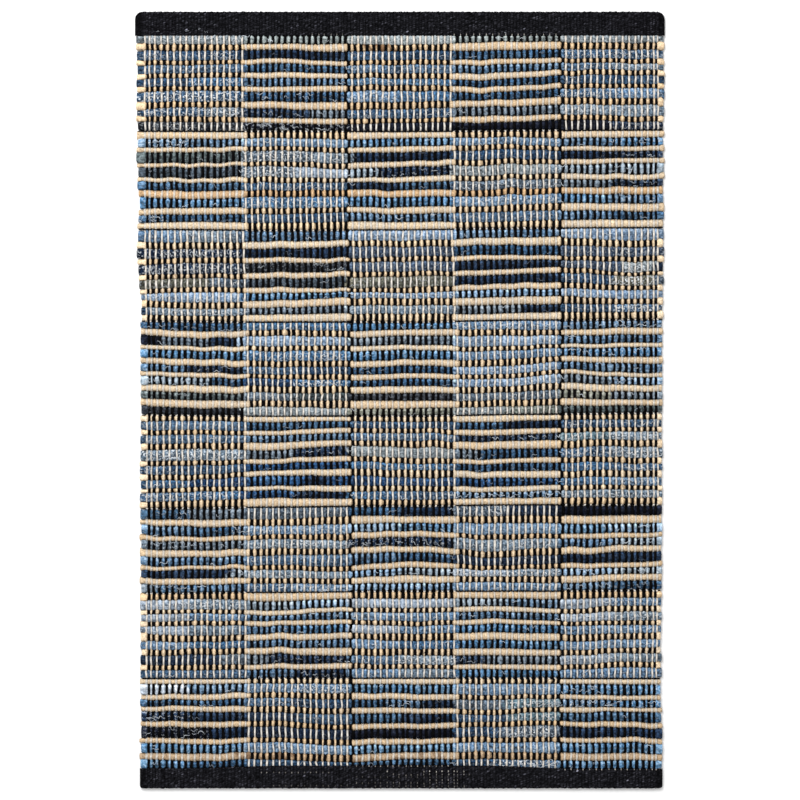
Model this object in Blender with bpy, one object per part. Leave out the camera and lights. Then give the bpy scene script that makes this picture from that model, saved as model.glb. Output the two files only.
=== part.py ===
"""A flat woven rag rug: denim strips and jute laid across cotton warps, with a woven hem band at each end.

Units are metres. The rug lies on its flat underside, with its width along X, its length along Y, the deeper
hem band at +Y and the centre of the underside at the origin. It is one cloth, so it is one solid. Each strip
of denim or jute that crosses the rug is a rib of the upper face, and its looped end is a lump in the side.
"""

import bmesh
import bpy
import numpy as np

# Lengths along the rug, from the +Y end to the -Y end.
TOP_HEM = 0.0277
BOTTOM_HEM = 0.0231
# The block rows of the log cabin weave, in order. A letter is one pick, the strip laid in one opening of the
# warps: D or d a full or a slim denim strip, J or j a full or a slim jute strip, b a thin black one. The picks
# sag towards -Y by the last column's distances, at five even places from the left side to the right.
BLOCK_ROWS = (
    # picks, length along the rug, sag
    ("dJDjdjdjDJDjdb", 0.1130, (0.0006, 0.0006, 0.0, -0.0006, -0.0006)),
    ("JdjDjDjdJDJdJb", 0.1147, (0.0, 0.0009, 0.0014, 0.0, -0.0016)),
    ("DJDjDjDjdJdJb", 0.1076, (0.0012, 0.0019, 0.0006, -0.0019, -0.0018)),
    ("dJDjDJdjdJdJdb", 0.1102, (-0.0009, 0.0012, 0.0025, 0.0, -0.0021)),
    ("jdjdJDjdJdjdJb", 0.1067, (0.0014, 0.0013, 0.0006, -0.0013, -0.0014)),
    ("DJDjDJDjdJdb", 0.1004, (0.0038, 0.0012, -0.0012, -0.0019, -0.0024)),
    ("JDjdjdJdJDjdb", 0.1013, (0.0006, 0.0, 0.0, 0.0, 0.0)),
    ("jDjdjDjDjDJd", 0.1048, (0.0, 0.0, -0.0006, 0.0, 0.0006)),
)
# A strip's width as laid. Each block row's picks are beaten together until they fill its length.
STRIP_WIDTH = {"D": 0.0120, "d": 0.0098, "J": 0.0077, "j": 0.0057, "b": 0.0017}

# How far the cloth reaches on each side of its centre line: it was beaten a little wider near the +Y end.
SIDES = (
    # distance from the +Y end, reach to the left, reach to the right
    (0.000, 0.3104, 0.3100),
    (0.026, 0.3104, 0.3100),
    (0.031, 0.3086, 0.3090),
    (0.180, 0.3080, 0.3090),
    (0.225, 0.3057, 0.3080),
    (0.285, 0.3080, 0.3090),
    (0.340, 0.3032, 0.3076),
    (0.600, 0.3040, 0.3064),
    (0.760, 0.3032, 0.3056),
    (0.910, 0.3046, 0.3074),
)

# Heights above the floor.
CROWN = {"D": 0.0086, "d": 0.0083, "J": 0.0082, "j": 0.0078, "b": 0.0060}
VALLEY = 0.0054
HEM_FACE = 0.0066

# Shape of a pick across its own width, and of its looped end.
SHOULDERS = (0.28, 0.72)
LOOP_REACH = 0.0013
NOTCH_DEPTH = 0.0016
UNEVEN_CROWN = 0.0004
UNEVEN_EDGE = 0.0004

# Rounding of the cloth's sides and ends. Each row is a line of points down one side of a section.
SIDE_CURVE = (
    # inward from the widest line, share of the section's height
    (0.0012, 0.0),
    (0.0, 0.45),
    (0.0026, 0.86),
)
END_CURVE = (
    # inward from the very end, share of the hem's height
    (0.0, 0.55),
    (0.0012, 0.86),
    (0.0040, 1.0),
)
HEM_STEP = 0.0065
TOP_CORNER_RADIUS = 0.0085
BOTTOM_CORNER_RADIUS = 0.0030

COLUMNS = 10
SEED = 26

FIELD = sum(length for picks, length, sag in BLOCK_ROWS)
LENGTH = TOP_HEM + FIELD + BOTTOM_HEM
RNG = np.random.default_rng(SEED)


def clear_scene():
    for item in list(bpy.data.objects):
        bpy.data.objects.remove(item, do_unlink=True)


def eased(x, places, values):
    """Values at x, running from place to place in soft S curves."""
    low = np.clip(np.searchsorted(places, x) - 1, 0, len(places) - 2)
    share = np.clip((x - places[low]) / (places[low + 1] - places[low]), 0.0, 1.0)
    share = share * share * (3.0 - 2.0 * share)
    return values[low] * (1.0 - share) + values[low + 1] * share


def sag_table():
    """The distances from the +Y end at which the sag is known, and the sag at the five places there."""
    lengths = np.array([length for picks, length, sag in BLOCK_ROWS])
    middles = TOP_HEM + np.cumsum(lengths) - lengths / 2
    distances = np.concatenate([[0.0, TOP_HEM], middles, [LENGTH - BOTTOM_HEM, LENGTH]])
    sags = np.array([sag for picks, length, sag in BLOCK_ROWS])
    straight = np.zeros((2, sags.shape[1]))
    return distances, np.vstack([straight, sags, straight])


SAG_DISTANCES, SAGS = sag_table()


def sag_at(across, along):
    """How far the picks have sagged towards -Y, at points across the rug and a distance from its +Y end."""
    there = np.array([np.interp(along, SAG_DISTANCES, column) for column in SAGS.T])
    return eased(across, np.linspace(-0.31, 0.31, len(there)), there)


def sides_at(along):
    """The reach to the left and to the right at a distance from the +Y end, with both ends' corners rounded."""
    distance, left, right = np.array(SIDES).T
    rounded = 0.0
    for from_end, radius in ((along, TOP_CORNER_RADIUS), (LENGTH - along, BOTTOM_CORNER_RADIUS)):
        if from_end < radius:
            rounded += radius - np.sqrt(radius**2 - (radius - from_end) ** 2)
    return np.interp(along, distance, left) - rounded, np.interp(along, distance, right) - rounded


def hem_sections(length):
    """Sections of a hem band from its free end inwards, each a distance, a height and an extra reach."""
    rows = [(inward, share * HEM_FACE, 0.0) for inward, share in END_CURVE]
    steps = int((length - END_CURVE[-1][0]) / HEM_STEP)
    for place in np.linspace(END_CURVE[-1][0], length, steps + 1)[1:-1]:
        rows.append((place, HEM_FACE + RNG.uniform(-0.5, 0.5) * UNEVEN_CROWN, 0.0))
    return rows


def pick_sections(kind, start, width):
    """The valley before a pick and the pick's crown, each a distance, a height and an extra reach."""
    rows = [(start, VALLEY, -NOTCH_DEPTH)]
    if kind == "b":
        return rows + [(start + width / 2, CROWN[kind], -NOTCH_DEPTH)]
    crown = CROWN[kind] + RNG.uniform(-1, 1) * UNEVEN_CROWN
    reach = LOOP_REACH * RNG.uniform(0.5, 1.0)
    return rows + [(start + share * width, crown, reach) for share in SHOULDERS]


def all_sections():
    """Every section of the rug in order, from the +Y end to the -Y end."""
    rows = hem_sections(TOP_HEM)
    start = TOP_HEM
    for picks, length, sag in BLOCK_ROWS:
        beaten = length / sum(STRIP_WIDTH[kind] for kind in picks)
        for kind in picks:
            width = STRIP_WIDTH[kind] * beaten
            rows += pick_sections(kind, start, width)
            start += width
    rows.append((start, VALLEY, -NOTCH_DEPTH))
    ending = [(LENGTH - inward, height, reach) for inward, height, reach in hem_sections(BOTTOM_HEM)]
    return rows + ending[::-1]


def section_points(along, height, reach):
    """One closed section: up the left side, over the face and down the right side, both feet on the floor."""
    left, right = sides_at(along)
    left, right = left + reach, right + reach
    inner = SIDE_CURVE[-1][0]
    left_side = [(-left + inward, share * height) for inward, share in SIDE_CURVE]
    right_side = [(right - inward, share * height) for inward, share in reversed(SIDE_CURVE)]
    face = np.linspace(-left + inner, right - inner, COLUMNS + 2)[1:-1]
    lift = RNG.uniform(-1, 1, COLUMNS) * UNEVEN_CROWN * 0.5
    points = left_side + list(zip(face, height + lift)) + right_side
    across = np.array([x for x, z in points])
    wander = sag_at(across, along) + RNG.uniform(-1, 1, len(points)) * UNEVEN_EDGE
    wander[[0, -1]] = wander[[1, -2]]
    return [(x, LENGTH / 2 - along - dy, z) for (x, z), dy in zip(points, wander)]


def rug_mesh():
    """The sections joined into one closed body, moved so that its underside is centred on the origin."""
    work = bmesh.new()
    rings = [[work.verts.new(point) for point in section_points(*row)] for row in all_sections()]
    for ring, following in zip(rings, rings[1:]):
        for i in range(len(ring)):
            work.faces.new((ring[i - 1], ring[i], following[i], following[i - 1]))
    work.faces.new(rings[0][::-1])
    work.faces.new(rings[-1])
    bmesh.ops.recalc_face_normals(work, faces=work.faces)
    places = np.array([vertex.co for vertex in work.verts])
    middle = (places.min(axis=0) + places.max(axis=0)) / 2
    bmesh.ops.translate(work, verts=work.verts, vec=(-middle[0], -middle[1], 0.0))
    mesh = bpy.data.meshes.new("rug")
    work.to_mesh(mesh)
    work.free()
    mesh.shade_smooth()
    mesh.set_sharp_from_angle(angle=np.radians(60))
    return mesh


def cloth_material():
    """Worn denim and jute, seen from far enough away to blend."""
    material = bpy.data.materials.new("woven_rags")
    material.use_nodes = True
    shader = material.node_tree.nodes["Principled BSDF"]
    shader.inputs["Base Color"].default_value = (0.16, 0.19, 0.24, 1.0)
    shader.inputs["Roughness"].default_value = 0.92
    shader.inputs["Metallic"].default_value = 0.0
    return material


def build():
    clear_scene()
    rug = bpy.data.objects.new("rug", rug_mesh())
    rug.data.materials.append(cloth_material())
    bpy.context.scene.collection.objects.link(rug)


build()
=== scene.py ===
"""A flat woven rag rug, thread by thread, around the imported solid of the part.

The cloth is a log cabin weave: denim strips and jute laid in turn across cream and black cotton warps,
each of which passes over every second pick. Each family of yarns is one mesh of tubes. Units are metres,
+Y is the end with the deeper hem band, and a distance `along` is measured from there.
"""

import bpy
import numpy as np
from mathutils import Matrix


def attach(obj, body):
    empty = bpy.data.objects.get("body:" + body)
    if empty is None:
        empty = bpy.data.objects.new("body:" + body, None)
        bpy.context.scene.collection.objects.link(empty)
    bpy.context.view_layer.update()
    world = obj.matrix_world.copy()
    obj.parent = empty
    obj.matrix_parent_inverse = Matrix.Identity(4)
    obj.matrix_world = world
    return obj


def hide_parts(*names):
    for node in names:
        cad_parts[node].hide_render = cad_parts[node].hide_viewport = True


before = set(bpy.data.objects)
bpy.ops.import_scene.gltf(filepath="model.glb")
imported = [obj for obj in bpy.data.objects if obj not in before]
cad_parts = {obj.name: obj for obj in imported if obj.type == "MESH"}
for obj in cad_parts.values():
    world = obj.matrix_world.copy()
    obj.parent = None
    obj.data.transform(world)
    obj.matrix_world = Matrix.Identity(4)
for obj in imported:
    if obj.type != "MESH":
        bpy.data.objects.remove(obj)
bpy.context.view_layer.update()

# ---------- the weave's draft, as in the part's source

TOP_HEM = 0.0277
BOTTOM_HEM = 0.0231
# One line for each row of blocks. A letter is a pick: D or d a full or a slim denim strip, J or j a full or a
# slim jute strip, b a thin black one. The last column is the sag towards -Y at five places across.
BLOCK_ROWS = (
    # picks, length along the rug, sag
    ("dJDjdjdjDJDjdb", 0.1130, (0.0006, 0.0006, 0.0, -0.0006, -0.0006)),
    ("JdjDjDjdJDJdJb", 0.1147, (0.0, 0.0009, 0.0014, 0.0, -0.0016)),
    ("DJDjDjDjdJdJb", 0.1076, (0.0012, 0.0019, 0.0006, -0.0019, -0.0018)),
    ("dJDjDJdjdJdJdb", 0.1102, (-0.0009, 0.0012, 0.0025, 0.0, -0.0021)),
    ("jdjdJDjdJdjdJb", 0.1067, (0.0014, 0.0013, 0.0006, -0.0013, -0.0014)),
    ("DJDjDJDjdJdb", 0.1004, (0.0038, 0.0012, -0.0012, -0.0019, -0.0024)),
    ("JDjdjdJdJDjdb", 0.1013, (0.0006, 0.0, 0.0, 0.0, 0.0)),
    ("jDjdjDjDjDJd", 0.1048, (0.0, 0.0, -0.0006, 0.0, 0.0006)),
)
STRIP_WIDTH = {"D": 0.0120, "d": 0.0098, "J": 0.0077, "j": 0.0057, "b": 0.0017}
SIDES = (
    # distance from the +Y end, reach to the left, reach to the right
    (0.000, 0.3104, 0.3100),
    (0.026, 0.3104, 0.3100),
    (0.031, 0.3086, 0.3090),
    (0.180, 0.3080, 0.3090),
    (0.225, 0.3057, 0.3080),
    (0.285, 0.3080, 0.3090),
    (0.340, 0.3032, 0.3076),
    (0.600, 0.3040, 0.3064),
    (0.760, 0.3032, 0.3056),
    (0.910, 0.3046, 0.3074),
)
HEM_FACE = 0.0066
# The -Y band is turned in a little deeper in the middle of the rug.
HEM_TURN_IN = (
    # across the rug, extra depth
    (-0.24, 0.0),
    (-0.15, 0.0030),
    (0.00, 0.0035),
    (0.12, 0.0030),
    (0.20, -0.0006),
)
TOP_CORNER_RADIUS = 0.0085
BOTTOM_CORNER_RADIUS = 0.0030

FIELD = sum(length for picks, length, sag in BLOCK_ROWS)
LENGTH = TOP_HEM + FIELD + BOTTOM_HEM
WIDTH = 0.62

# ---------- the warps

# One string for each column of blocks, c for a cream warp and k for a black one.
WARP_COLUMNS = ("ck" * 16 + "c", "ck" * 17, "kc" * 17, "ck" * 17, "kc" * 16)
WARPS = "".join(WARP_COLUMNS)
# Where the columns of blocks meet: they were wound a little closer on the left near the +Y end.
COLUMN_LINES = (
    # distance from the +Y end, first warp, the four lines between the columns, last warp
    (0.03, -0.2985, -0.1823, -0.0617, 0.0614, 0.1884, 0.3022),
    (0.23, -0.2985, -0.1823, -0.0617, 0.0614, 0.1884, 0.3022),
    (0.31, -0.2975, -0.1802, -0.0585, 0.0649, 0.1884, 0.3019),
    (0.42, -0.2960, -0.1798, -0.0579, 0.0655, 0.1884, 0.3019),
    (0.60, -0.2962, -0.1790, -0.0568, 0.0661, 0.1884, 0.3021),
    (0.80, -0.2967, -0.1787, -0.0562, 0.0655, 0.1872, 0.3001),
)
# The outer warps lie closer together: their spaces from the side inwards, as shares of the pitch.
SELVEDGE_SPACES = (0.66, 0.70, 0.94, 0.96)

# Half the width of a warp where it lies over a strip, and where it is under one.
WARP_HALF_WIDTH = {
    # warp: over denim, over jute, over a black pick, under
    "c": {"d": 0.00105, "j": 0.00132, "b": 0.00115, "under": 0.00120},
    "k": {"d": 0.00158, "j": 0.00180, "b": 0.00165, "under": 0.00150},
}
WARP_HALF_THICKNESS = {"c": 0.00100, "k": 0.00130}
# A warp's section, as shares of its half width and half thickness, and how far it stands out of a strip.
WARP_SECTION = ((0.92, -0.74), (0.92, 0.74), (-0.92, 0.74), (-0.92, -0.74))
WARP_STAND = 0.85
# How far from a pick's middle a warp bends, over and under it, as a share of the pick's half width, and how
# far its ends are tucked into the hem bands.
WARP_BEND = (0.62, 0.50)
WARP_TUCK = 0.004
# How far a warp wanders sideways from pick to pick, how often it slips further, how far it is off as a whole,
# and how far it drifts over what length.
WARP_WANDER = {"c": 0.00016, "k": 0.00036}
SLIP_SHARE = 0.05
SLIP_FACTOR = 2.5
WARP_OFF = 0.00022
WARP_DRIFT = 0.0003
DRIFT_LENGTH = 0.07
# How far it slants over one pick on its own, and together with the neighbours within what length.
WARP_LEAN = {"c": 0.00015, "k": 0.00018}
LEAN_TOGETHER = 0.00022
LEAN_LENGTH = 0.04
# How uneven its line and its width are.
WARP_ROUGH = 0.00008
WARP_UNEVEN = 0.10
# Painted shade on a warp before and after the crown of a pick, where it dips, and a painted highlight on
# the crown; and, in red, green and blue, how much darker and greyer it is where pressed flat into jute.
CROWN_LIGHT = (0.80, 1.05, 0.80)
PRESSED_LIGHT = (0.88, 0.87, 0.85)

# ---------- the picks

MIDPLANE = 0.00425
CRIMP = 0.00115
LOWEST = 0.0001
PICK_HALF_HEIGHT = {"D": 0.0029, "d": 0.0028, "J": 0.0026, "j": 0.0024, "b": 0.0010}
# A pick's section, as shares of its half width and half height, from the +Y side over the top.
SECTIONS = {
    "d": ((1.0, 0.0), (0.70, 0.78), (0.0, 1.0), (-0.70, 0.78), (-1.0, 0.0), (-0.6, -0.85), (0.6, -0.85)),
    "j": ((1.0, 0.0), (0.55, 0.88), (-0.55, 0.88), (-1.0, 0.0), (-0.55, -0.88), (0.55, -0.88)),
    "b": ((1.0, 0.0), (0.0, 1.0), (-1.0, 0.0), (0.0, -1.0)),
}
SECTION_ROUGH = {"d": 0.06, "j": 0.055, "b": 0.05}
RING_ROUGH = 0.00012
# How uneven a pick is along its length.
PICK_UNEVEN = (
    # share of the width, length over which it changes
    (0.20, 0.085),
    (0.07, 0.018),
)
PLUMP_UNEVEN = 0.05
PLUMP_LENGTH = 0.03
# Picks press into each other by a share of their width.
PICK_OVERLAP = 1.04
# How far a strip spreads. The thick black warps draw it in, and most where they cross it and beside them, so
# that it swells into beads.
SPREAD = {
    # strip: held by cream, held by black
    "d": (1.05, 0.96),
    "j": (1.09, 1.22),
    "b": (1.00, 1.00),
}
# The jute was drawn thinner towards the sides: its width there, as a share.
JUTE_DRAWN = (
    # across the rug, share of the width
    (-0.25, 0.90),
    (-0.12, 1.02),
    (0.12, 1.07),
    (0.25, 0.93),
)
# How unevenly strips swell where the cream warps hold them, and where the black ones do.
BEAD_UNEVEN = {"d": (0.03, 0.04), "j": (0.04, 0.16), "b": (0.0, 0.0)}
HELD_WIDTH = {"c": 0.97, "k": 0.76}
FREE_WIDTH = 1.02
BETWEEN_WIDTH = {"c": 0.99, "k": 0.78}
HELD_HEIGHT = 0.90
FREE_HEIGHT = 1.04
BETWEEN_HEIGHT = 0.97
# How far down a pick is between two warps, as a share of the crimp.
BETWEEN_DROP = {"c": 0.15, "k": 0.50}
# The fold line along the top of a rag: its depth as a share of the height, how much of the rag has one, and
# its even length.
CREASE = {"d": 0.30, "j": 0.0, "b": 0.0}
CREASE_SHARE = 0.3
CREASE_LENGTH = 0.022
# The loop at a pick's end, where it turns back under the selvedge.
LOOP_RINGS = (
    # share of the way out, share of the height, drop
    (0.30, 1.00, 0.0000),
    (0.60, 1.02, 0.0001),
    (0.84, 0.92, 0.0004),
    (0.96, 0.70, 0.0008),
    (1.00, 0.35, 0.0011),
)
# The share of the width at those rings. The jute turns back in wedges on the left and in round knobs on the
# right.
LOOP_WIDTHS = {
    # strip: on the left, on the right
    "d": ((0.98, 0.98, 0.95, 0.82, 0.55), (0.90, 0.86, 0.92, 0.80, 0.50)),
    "j": ((1.00, 1.12, 1.10, 0.88, 0.50), (1.26, 1.30, 1.08, 0.76, 0.36)),
    "b": ((1.00, 1.00, 1.00, 0.80, 0.50), (1.00, 1.00, 1.00, 0.80, 0.50)),
}
# How evenly loops are made: the least and the most of that width, how far they lie short of or past the side,
# and how far off the middle of their picks.
LOOP_FAN = {"d": (0.88, 1.04), "j": (0.84, 1.22), "b": (1.0, 1.0)}
LOOP_UNEVEN = {"d": (-0.0012, 0.0010), "j": (-0.0008, 0.0014), "b": (-0.0012, 0.0)}
LOOP_OFF = 0.0004

# ---------- colours, as they look in daylight

# The light on the rug: a surface that sends back 1 / STUDIO_LIGHT of it just looks white.
STUDIO_LIGHT = 1.25
WASHES = {
    # named denim washes: red, green, blue from 0 to 255
    "ice": (190, 204, 224),
    "powder": (158, 186, 220),
    "sky": (122, 156, 192),
    "azure": (76, 118, 158),
    "cobalt": (38, 72, 114),
    "mid": (82, 112, 144),
    "deep": (50, 80, 112),
    "navy": (30, 46, 70),
    "ink": (13, 17, 30),
    "slate": (100, 114, 130),
    "mist": (138, 156, 174),
    "silver": (166, 173, 177),
    "bleach": (202, 208, 208),
    "fog": (134, 144, 146),
    "smoke": (62, 72, 84),
    "dusk": (74, 90, 114),
    "teal": (104, 134, 148),
    "moss": (74, 84, 88),
    "khaki": (120, 116, 102),
    "sage": (134, 136, 126),
    "coal": (40, 44, 52),
}
THREAD_WHITE = (232, 240, 248)
JUTE_TONES = {
    # p plain, l light, s straw, o orange, b brown
    "p": (237, 212, 178),
    "l": (242, 220, 188),
    "s": (231, 203, 166),
    "o": (226, 189, 146),
    "b": (210, 182, 149),
}
STAIN_BROWN = (96, 58, 30)
CREAM_COLOUR = (240, 233, 223)
BLACK_COLOUR = (11, 10, 11)
HEM_COLOUR = (27, 27, 31)

# The weaver's list: one line for each denim pick, with its rags from left to right and the tenth of the width
# where each ends. A + is a degree of fray.
RAGS = (
    # first row of blocks
    "silver+:2 fog:4 bleach:6 fog:8 silver:10",
    "deep+:2 navy:4 deep:8 mid+:10",
    "mid:2 deep:4 mid:9 mist+:10",
    "deep:1 azure+:2 mid:4 azure:6 deep:10",
    "mid++:2 deep+:4 sky+:5 azure:6 deep:8 mid+:9 sky+:10",
    "deep++:1.3 slate++:2 navy+:3.3 slate:4 deep+:6 slate:8 mist+:10",
    "coal+:2 ink++:4 ink:9 navy+:10",
    # second row
    "mid++:1 mid:2 sky:4 azure:6 sky:8 mid:9 azure+:10",
    "moss:2 slate++:3.4 mist+:4.1 navy:6 deep:8 navy:9 navy+:10",
    "smoke:2 slate++:2.95 ice:4.05 mist+:4.6 navy+:6 silver:7.8 mist+:10",
    "deep:2 deep+:4 navy:5 deep:6 slate+:8 slate:9 navy+:10",
    "azure:2 azure+:4 azure:6 sky+:8 azure:9 mid+:10",
    "deep++:0.6 deep:4 mid:9 deep:10",
    # third row
    "sky:1 mist:2 mid:4 powder:6 sky:7 mid:8 powder:10",
    "navy++:2 navy:4 dusk:6 deep:8 dusk:9 dusk+:10",
    "navy++:2 coal+:4 dusk:6 navy:8 dusk:9.2 silver++:9.8 navy:10",
    "khaki:1.4 slate:2 smoke:4 khaki:6 navy:8 deep:9 khaki++:9.8 slate:10",
    "powder+:2 azure:4 powder:6 sky:8 powder:10",
    "deep:0.3 mist+:2 slate:4 mist:6 slate:7.3 navy:8 deep:9 mid++:10",
    # fourth row
    "deep+:2 azure:6 sky+:8 mid+:10",
    "ink:0.5 slate:1.4 navy:1.9 powder:4 slate:6 powder:8 mid:10",
    "azure:2 azure+:4 azure:6 sky:8 azure+:10",
    "mid:1 navy+:2 mid:3 deep:6 powder:8 mid:10",
    "mist+:1.4 deep:2 cobalt:3 azure++:4 deep:6 powder:8 slate:9 sky+:10",
    "moss:2 slate:3 moss:4 coal:6 slate:8 sage:9 slate:10",
    "coal:2 silver:4 sage:6 silver:7 sage:8 moss:10",
    # fifth row
    "mid:2 deep:7 navy:8 deep+:10",
    "mid:6 navy+:8 teal+:9 mist++:10",
    "mist++:2 slate:3 navy+:4 silver:6 slate+:6.5 deep:8 mid+:9 mist++:10",
    "mid+:0.6 deep:2 cobalt:4 azure:6 deep:8 azure:9 mid+:10",
    "azure:1 cobalt:3.2 navy:3.6 cobalt:8 azure:9 sky+:10",
    "mid+:1 azure+:2 cobalt:3 navy:4 azure:5 mid:6 mid++:8 mist+:10",
    # sixth row
    "deep+:1 slate:4 deep:5 navy:6 slate+:7 navy:8 ink:10",
    "mid:1 deep:1.8 deep++:2 sky+:4 sky:5 azure:6 sky:8 azure:9 sky+:10",
    "slate+:2 mist+:3 mist++:4 navy++:6 mist+:8 mid:9 mist+:10",
    "mid:5 deep:6 navy:10",
    "navy:1.8 mist+:3 mist:4 sky:5 mist:6 ice++:7 mist++:8 sky+:9 mist+:10",
    "slate:0.4 deep++:1.2 mid:3 sky+:4 sky:8 mid+:9 deep+:10",
    # seventh row
    "ice+:1 mist++:2 mist:3 sky:4 ice:6 mist:7 mid:8 ice:9 sky+:10",
    "ice:1 sky:2 mid:4 sky:6 mid:8 ice+:9 mist++:10",
    "ice:1 mist:2 mid:3 azure:4 ice:5 sky:6 azure:8 sky:10",
    "sky:1 azure:2 mid:4 sky:5 azure:8 sky:10",
    "navy:1.6 slate:2.5 navy+:4 mid:5 mist++:6 navy+:6.6 slate:8 ice:9 mist:10",
    "mid:3 navy+:4 sky:5 mist:6 azure:8 sky:10",
    # eighth row
    "ice:1 mid:2 sky:3 sky++:4 azure:6 sky:8 azure+:10",
    "deep:2 mid:3 deep:4.7 mid+:5.4 navy:6 slate:7 teal++:8 mid++:9 azure+:10",
    "navy++:1 navy:3 deep:5 navy:6 deep:7 teal+:8 deep:10",
    "ink+:1.4 navy:4 ink:6 deep:6.9 slate++:8 navy:10",
    "azure:2 sky:4 azure:6 sky:8 azure:10",
    "azure:1 deep:6.8 mid++:8 azure:10",
)
# For each degree of fray: how strong the white flecks are, and how many loose threads lie on a tenth of the
# width. A dark rag's own threads are dark, so both are less white on it, down to their least shares.
FLECKED = ((0.22, 0.1), (0.50, 0.4), (0.90, 0.6))
THREADS = ((1, 0.05), (4, 0.8), (9, 0.8))
DARK = 0.12
# A rag's end is uneven. Its paler back, the front's colour to a power, shows at a random strength on a fold
# that turns round the strip, where the cosine of the angle to the fold's line is past the edge.
RAG_END_ROUGH = 0.002
BACK_POWER = 0.75
BACK_STRENGTH = (0.1, 0.9)
FOLD_TURN = 1.6
FOLD_LENGTH = 0.05
FOLD_EDGE = (0.3, 0.8)
# How much brighter or darker a strip is from point to point, and slowly over what length.
STRIP_MOTTLE = {"d": (0.24, 0.14, 0.012), "j": (0.07, 0.04, 0.04)}
# How brightly a rag is painted, in red, green and blue: painted shade where the cream warps press it flat,
# and painted light where it swells between the black ones.
RAG_LIGHT = ((0.55, 0.60, 0.63), (1.38, 1.38, 1.32))
# Painted shade on a strip's beads beside the warps that hold it, painted light on the swell between them.
BEAD_LIGHT = {
    # strip: beside a cream warp, between cream warps, beside a black warp, between black warps
    "d": (0.76, 1.20, 0.84, 1.12),
    "j": (0.94, 0.98, 0.72, 1.28),
}
# How brightly a strip shows along its -Y rim, its middle and its +Y rim, which faces the light.
RIMS = (-0.7, 0.0, 0.7)
ACROSS_LIGHT = {"d": (0.92, 0.88, 1.28), "j": (0.90, 1.00, 1.06)}
# How brightly its lower half shows, deep between two picks, and the height from which it is fully lit.
DEEP_LIGHT = {"d": 0.45, "j": 0.7}
LIT_HEIGHT = 0.6
# How strongly a crease in a rag is darkened with painted shade.
CREASE_SHADE = 2.2

# The tone of each jute pick, one word for each row of blocks.
JUTE_CHART = "sspsss ppplopl lppppl plpplp lpppllp pspsp slpppp lppssb"
# Jute changes in hue as it varies in brightness, and its painted shade is browner than its painted light:
# the shares, and the powers of that painted light, for its red, green and blue.
JUTE_WARMTH = (0.0, 0.02, 0.06)
JUTE_DEPTHS = (1.0, 1.25, 1.6)
BROWN_FIBRES = 0.008
BROWN_STRENGTH = 0.6
STAINS = (
    # jute pick, from and to across the rug, share of its points that are stained, how strongly
    (0, -0.046, 0.002, 0.45, 0.85),
    (48, -0.200, -0.120, 0.40, 0.70),
    (48, -0.060, 0.060, 0.30, 0.60),
)
STAIN_LENGTH = 0.006

# ---------- numbers for the layout

WAVE_SPREAD = 0.6


def linear(colour):
    """A colour from 0 to 255 as it looks in the studio, as the share of the light that is sent back."""
    share = np.array(colour, float) / 255.0
    return np.where(share <= 0.04045, share / 12.92, ((share + 0.055) / 1.055) ** 2.4) / STUDIO_LIGHT


def eased(share):
    return share * share * (3.0 - 2.0 * share)


def blend(first, second, share):
    """The first value where share is 0, the second where it is 1."""
    return first * (1.0 - share) + second * share


def varied(rng, spread, shape):
    """Random values about 1."""
    return np.exp(spread * rng.normal(0.0, 1.0, shape))


def wave_noise(rng, rows, x, step):
    """Smooth random values, mostly from -1 to 1, for each row at its places x. They change every `step`."""
    place = (x - x.min()) / step
    knots = rng.normal(0.0, WAVE_SPREAD, (rows, int(place.max()) + 3))
    first = place.astype(int)
    row = np.arange(rows)[:, None]
    return blend(knots[row, first], knots[row, first + 1], eased(place - first))


def draft():
    """Every pick in order: its letter, the distance of its middle from the +Y end, and its width."""
    letters, middles, widths = [], [], []
    start = TOP_HEM
    for picks, length, sag in BLOCK_ROWS:
        beaten = length / sum(STRIP_WIDTH[letter] for letter in picks)
        for letter in picks:
            width = STRIP_WIDTH[letter] * beaten
            letters.append(letter)
            middles.append(start + width / 2)
            widths.append(width)
            start += width
    return "".join(letters), np.array(middles), np.array(widths)


def sag_at(across, along):
    """How far the picks have sagged towards -Y, at points across the rug and one distance along it."""
    lengths = np.array([length for picks, length, sag in BLOCK_ROWS])
    sags = np.array([sag for picks, length, sag in BLOCK_ROWS])
    middles = TOP_HEM + np.cumsum(lengths) - lengths / 2
    distances = np.concatenate([[0.0, TOP_HEM], middles, [LENGTH - BOTTOM_HEM, LENGTH]])
    straight = np.zeros((2, sags.shape[1]))
    columns = np.vstack([straight, sags, straight]).T
    there = np.array([np.interp(along, distances, column) for column in columns])
    places = np.linspace(-0.31, 0.31, len(there))
    low = np.clip(np.searchsorted(places, across) - 1, 0, len(places) - 2)
    share = np.clip((across - places[low]) / (places[1] - places[0]), 0.0, 1.0)
    return blend(there[low], there[low + 1], eased(share))


def reach_at(along):
    """The reach of the cloth to the left and to the right, at distances from the +Y end."""
    distance, left, right = np.array(SIDES).T
    return np.interp(along, distance, left), np.interp(along, distance, right)


def hem_turn_in(across):
    """How much deeper than BOTTOM_HEM the -Y band is, at places across the rug."""
    return np.interp(across, *np.array(HEM_TURN_IN).T)


def warp_line(lines):
    """The places of all the warps, from the places of the first warp, the column lines and the last warp."""
    places = []
    last = len(WARP_COLUMNS) - 1
    tight = len(SELVEDGE_SPACES)
    for number, (column, low, high) in enumerate(zip(WARP_COLUMNS, lines, lines[1:])):
        spaces = np.ones(len(column) + 1)
        spaces[[0, -1]] = 0.5
        if number == 0:
            spaces[: tight + 1] = (0.0,) + SELVEDGE_SPACES
        if number == last:
            spaces[-tight - 1 :] = SELVEDGE_SPACES[::-1] + (0.0,)
        share = np.cumsum(spaces) / spaces.sum()
        places.append(low + (high - low) * share[:-1])
    return np.concatenate(places)


def by_warp(table):
    """The value of a table of the two kinds of warp, for each warp."""
    return np.array([table[kind] for kind in WARPS])


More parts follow.
